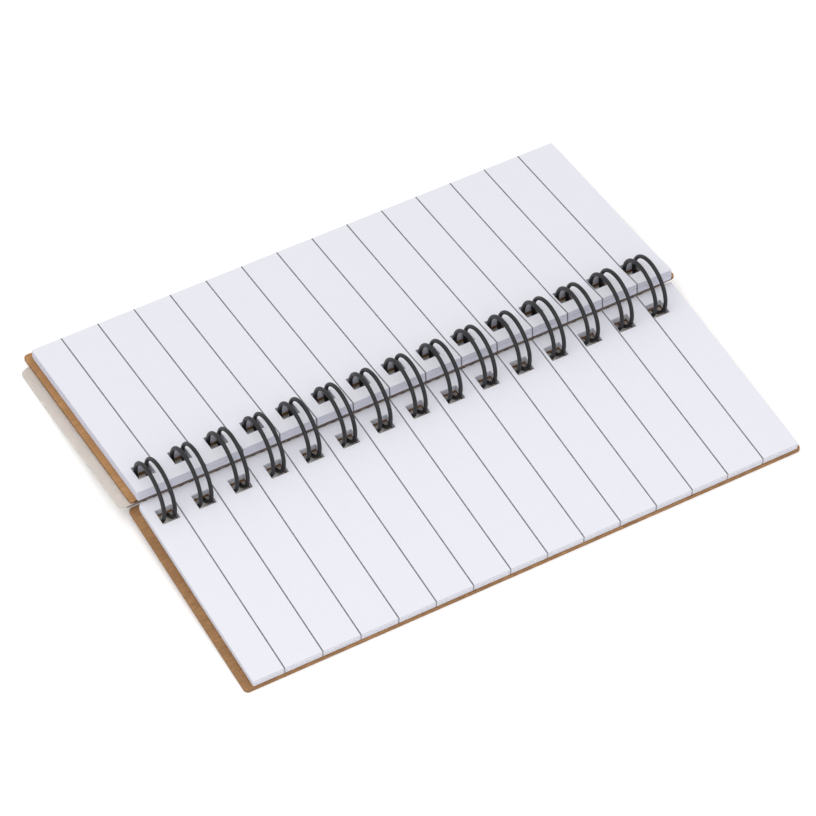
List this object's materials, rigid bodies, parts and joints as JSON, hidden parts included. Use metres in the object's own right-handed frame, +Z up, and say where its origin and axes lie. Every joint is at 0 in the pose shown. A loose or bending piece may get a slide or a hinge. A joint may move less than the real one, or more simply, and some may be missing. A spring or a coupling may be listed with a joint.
{
  "type": "pocket notebook",
  "caption": "Slim pocket notebook lying open at the middle: ruled leaves and brown boards that turn on a black twin-loop wire along the long side, with a frosted outer sheet.",
  "frame": {"origin": "middle of the footprint, on the surface the open notebook lies on", "axes": "+X along the binding, with the loops' row along it; +Y across the binding towards the far half; +Z up"},
  "size_m": [0.1346, 0.104, 0.0139],
  "materials": {
    "wire": "nylon-coated steel wire, charcoal, soft sheen",
    "kraft_board": "uncoated brown kraft board with fine fibres",
    "frosted_plastic": "translucent frosted polypropylene",
    "ruled_paper": "white uncoated writing paper with grey ruled lines"
  },
  "bodies": {
    "wire": {"wire_binding": "wire"},
    "near_cover": {"near_cover": "kraft_board"},
    "near_block": {"near_leaf_04": "ruled_paper", "near_leaf_05": "ruled_paper", "near_leaf_06": "ruled_paper", "near_leaf_07": "ruled_paper", "near_leaf_08": "ruled_paper", "near_leaf_09": "ruled_paper", "near_leaf_10": "ruled_paper", "near_leaf_11": "ruled_paper", "near_leaf_12": "ruled_paper", "near_leaf_13": "ruled_paper", "near_leaf_14": "ruled_paper", "near_leaf_15": "ruled_paper", "near_leaf_16": "ruled_paper", "near_leaf_17": "ruled_paper"},
    "near_leaf_03": {"near_leaf_03": "ruled_paper"},
    "near_leaf_02": {"near_leaf_02": "ruled_paper"},
    "near_leaf_01": {"near_leaf_01": "ruled_paper"},
    "frosted_sheet": {"frosted_sheet": "frosted_plastic"},
    "far_cover": {"far_cover": "kraft_board"},
    "far_block": {"far_leaf_04": "ruled_paper", "far_leaf_05": "ruled_paper", "far_leaf_06": "ruled_paper", "far_leaf_07": "ruled_paper", "far_leaf_08": "ruled_paper", "far_leaf_09": "ruled_paper", "far_leaf_10": "ruled_paper", "far_leaf_11": "ruled_paper", "far_leaf_12": "ruled_paper", "far_leaf_13": "ruled_paper", "far_leaf_14": "ruled_paper", "far_leaf_15": "ruled_paper", "far_leaf_16": "ruled_paper", "far_leaf_17": "ruled_paper", "far_leaf_18": "ruled_paper", "far_leaf_19": "ruled_paper", "far_leaf_20": "ruled_paper", "far_leaf_21": "ruled_paper", "far_leaf_22": "ruled_paper", "far_leaf_23": "ruled_paper"},
    "far_leaf_03": {"far_leaf_03": "ruled_paper"},
    "far_leaf_02": {"far_leaf_02": "ruled_paper"},
    "far_leaf_01": {"far_leaf_01": "ruled_paper"}
  },
  "joints": [
    {"name": "near_cover_turn", "type": "hinge", "parent": "wire", "child": "near_cover", "pos_m": [0, -0.0006, 0.00696], "axis": [-1, 0, 0], "range_deg": [0, 188.28]},
    {"name": "near_block_turn", "type": "hinge", "parent": "near_cover", "child": "near_block", "pos_m": [0, -0.0006, 0.00696], "axis": [-1, 0, 0], "range_deg": [0, 180]},
    {"name": "near_leaf_03_turn", "type": "hinge", "parent": "near_block", "child": "near_leaf_03", "pos_m": [0, -0.0006, 0.00696], "axis": [-1, 0, 0], "range_deg": [0, 180]},
    {"name": "near_leaf_02_turn", "type": "hinge", "parent": "near_leaf_03", "child": "near_leaf_02", "pos_m": [0, -0.0006, 0.00696], "axis": [-1, 0, 0], "range_deg": [0, 180]},
    {"name": "near_leaf_01_turn", "type": "hinge", "parent": "near_leaf_02", "child": "near_leaf_01", "pos_m": [0, -0.0006, 0.00696], "axis": [-1, 0, 0], "range_deg": [0, 180]},
    {"name": "frosted_sheet_turn", "type": "hinge", "parent": "wire", "child": "frosted_sheet", "pos_m": [0, -0.0006, 0.00696], "axis": [-1, 0, 0], "range_deg": [-188.28, 0]},
    {"name": "far_cover_turn", "type": "hinge", "parent": "frosted_sheet", "child": "far_cover", "pos_m": [0, -0.0006, 0.00696], "axis": [-1, 0, 0], "range_deg": [-180, 0]},
    {"name": "far_block_turn", "type": "hinge", "parent": "far_cover", "child": "far_block", "pos_m": [0, -0.0006, 0.00696], "axis": [-1, 0, 0], "range_deg": [-180, 0]},
    {"name": "far_leaf_03_turn", "type": "hinge", "parent": "far_block", "child": "far_leaf_03", "pos_m": [0, -0.0006, 0.00696], "axis": [-1, 0, 0], "range_deg": [-180, 0]},
    {"name": "far_leaf_02_turn", "type": "hinge", "parent": "far_leaf_03", "child": "far_leaf_02", "pos_m": [0, -0.0006, 0.00696], "axis": [-1, 0, 0], "range_deg": [-180, 0]},
    {"name": "far_leaf_01_turn", "type": "hinge", "parent": "far_leaf_02", "child": "far_leaf_01", "pos_m": [0, -0.0006, 0.00696], "axis": [-1, 0, 0], "range_deg": [-180, 0]}
  ]
}
